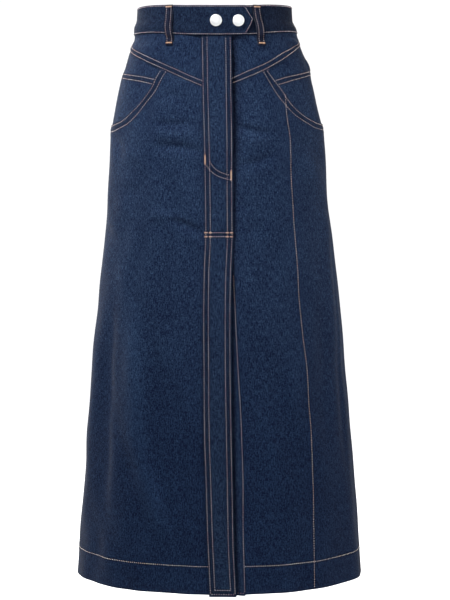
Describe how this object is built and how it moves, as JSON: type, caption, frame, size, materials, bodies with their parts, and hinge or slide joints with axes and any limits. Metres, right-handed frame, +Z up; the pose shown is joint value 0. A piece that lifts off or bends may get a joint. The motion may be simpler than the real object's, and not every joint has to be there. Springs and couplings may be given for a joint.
{
  "type": "denim midi skirt",
  "caption": "A-line denim skirt with a pointed tab on its waistband, V-shaped yokes, curved front pockets and a strip down the front over a slit, filled out as worn.",
  "frame": {"origin": "middle of the waistband's ring, at half the waistband's height, where a waist holds the skirt up", "axes": "+Z up through the waist, -Y out of the front, +X to the right as the front is looked at"},
  "size_m": [0.4268, 0.3406, 0.8468],
  "materials": {
    "denim": "dark washed denim, matt",
    "denim_dark": "dark denim, matt, in the shade of the layer over it",
    "polished_metal": "polished"
  },
  "bodies": {
    "root": {"waistband_left": "denim", "waistband_right": "denim_dark", "yoke_front_left": "denim", "yoke_front_right": "denim", "yoke_back_left": "denim", "yoke_back_right": "denim", "front_left": "denim", "front_right": "denim", "front_right_side": "denim", "back_left": "denim", "back_right": "denim", "pocket_hip_left": "denim_dark", "pocket_hip_right": "denim_dark", "coin_pocket_left": "denim_dark", "coin_pocket_right": "denim_dark", "front_strip": "denim", "underlap": "denim_dark", "belt_loop_front_left": "denim", "belt_loop_front_right": "denim", "belt_loop_back_left": "denim", "belt_loop_back_centre": "denim", "belt_loop_back_right": "denim", "snap_inner": "polished_metal", "snap_outer": "polished_metal"}
  },
  "joints": []
}
